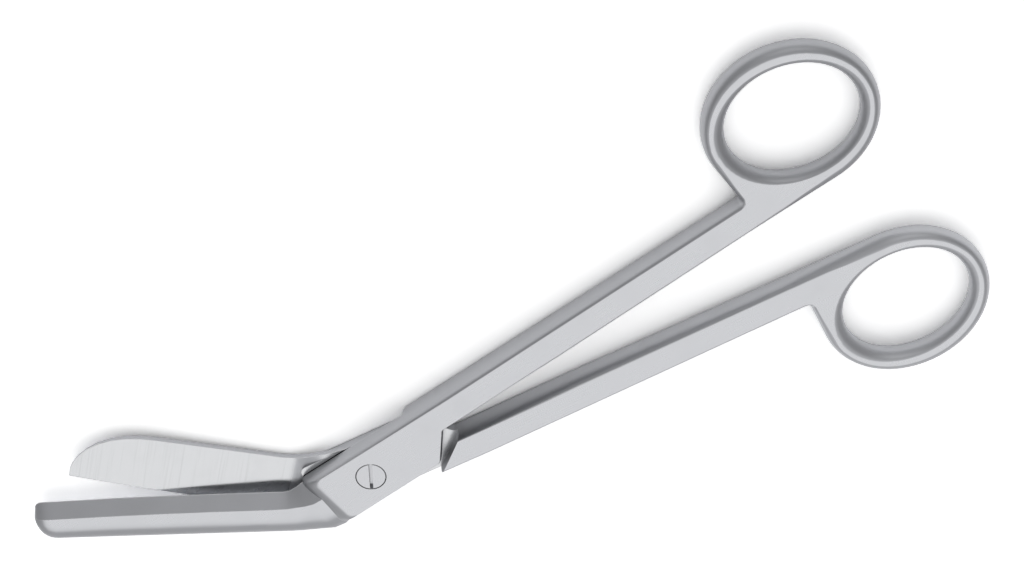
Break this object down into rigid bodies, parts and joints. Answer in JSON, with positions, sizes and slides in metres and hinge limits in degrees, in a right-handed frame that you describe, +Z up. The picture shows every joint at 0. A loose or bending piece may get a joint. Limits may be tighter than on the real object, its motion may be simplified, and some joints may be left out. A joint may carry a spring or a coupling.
{
  "type": "episiotomy scissors",
  "caption": "Angled surgical scissors: a narrow blunt-ended blade under a broad rounded one, half-lap joint with a slotted screw, and two finger rings.",
  "frame": {"origin": "on the pivot screw's axis, at the flat underside of the joint", "axes": "+Z up along the pivot screw towards its slotted head, +X midway between the two shanks towards the finger rings, +Y towards the ring of the blunt arm"},
  "size_m": [0.1459, 0.0592, 0.0052],
  "materials": {
    "steel": "satin ground stainless steel with polished edges",
    "screw_steel": "satin ground stainless steel, flush with the joint"
  },
  "bodies": {
    "broad_arm": {"broad_blade_arm": "steel", "pivot_screw": "screw_steel"},
    "blunt_arm": {"blunt_blade_arm": "steel"}
  },
  "joints": [
    {"name": "arm_pivot", "type": "hinge", "parent": "broad_arm", "child": "blunt_arm", "pos_m": [0, 0, 0], "axis": [0, 0, 1], "range_deg": [-7, 55]}
  ]
}
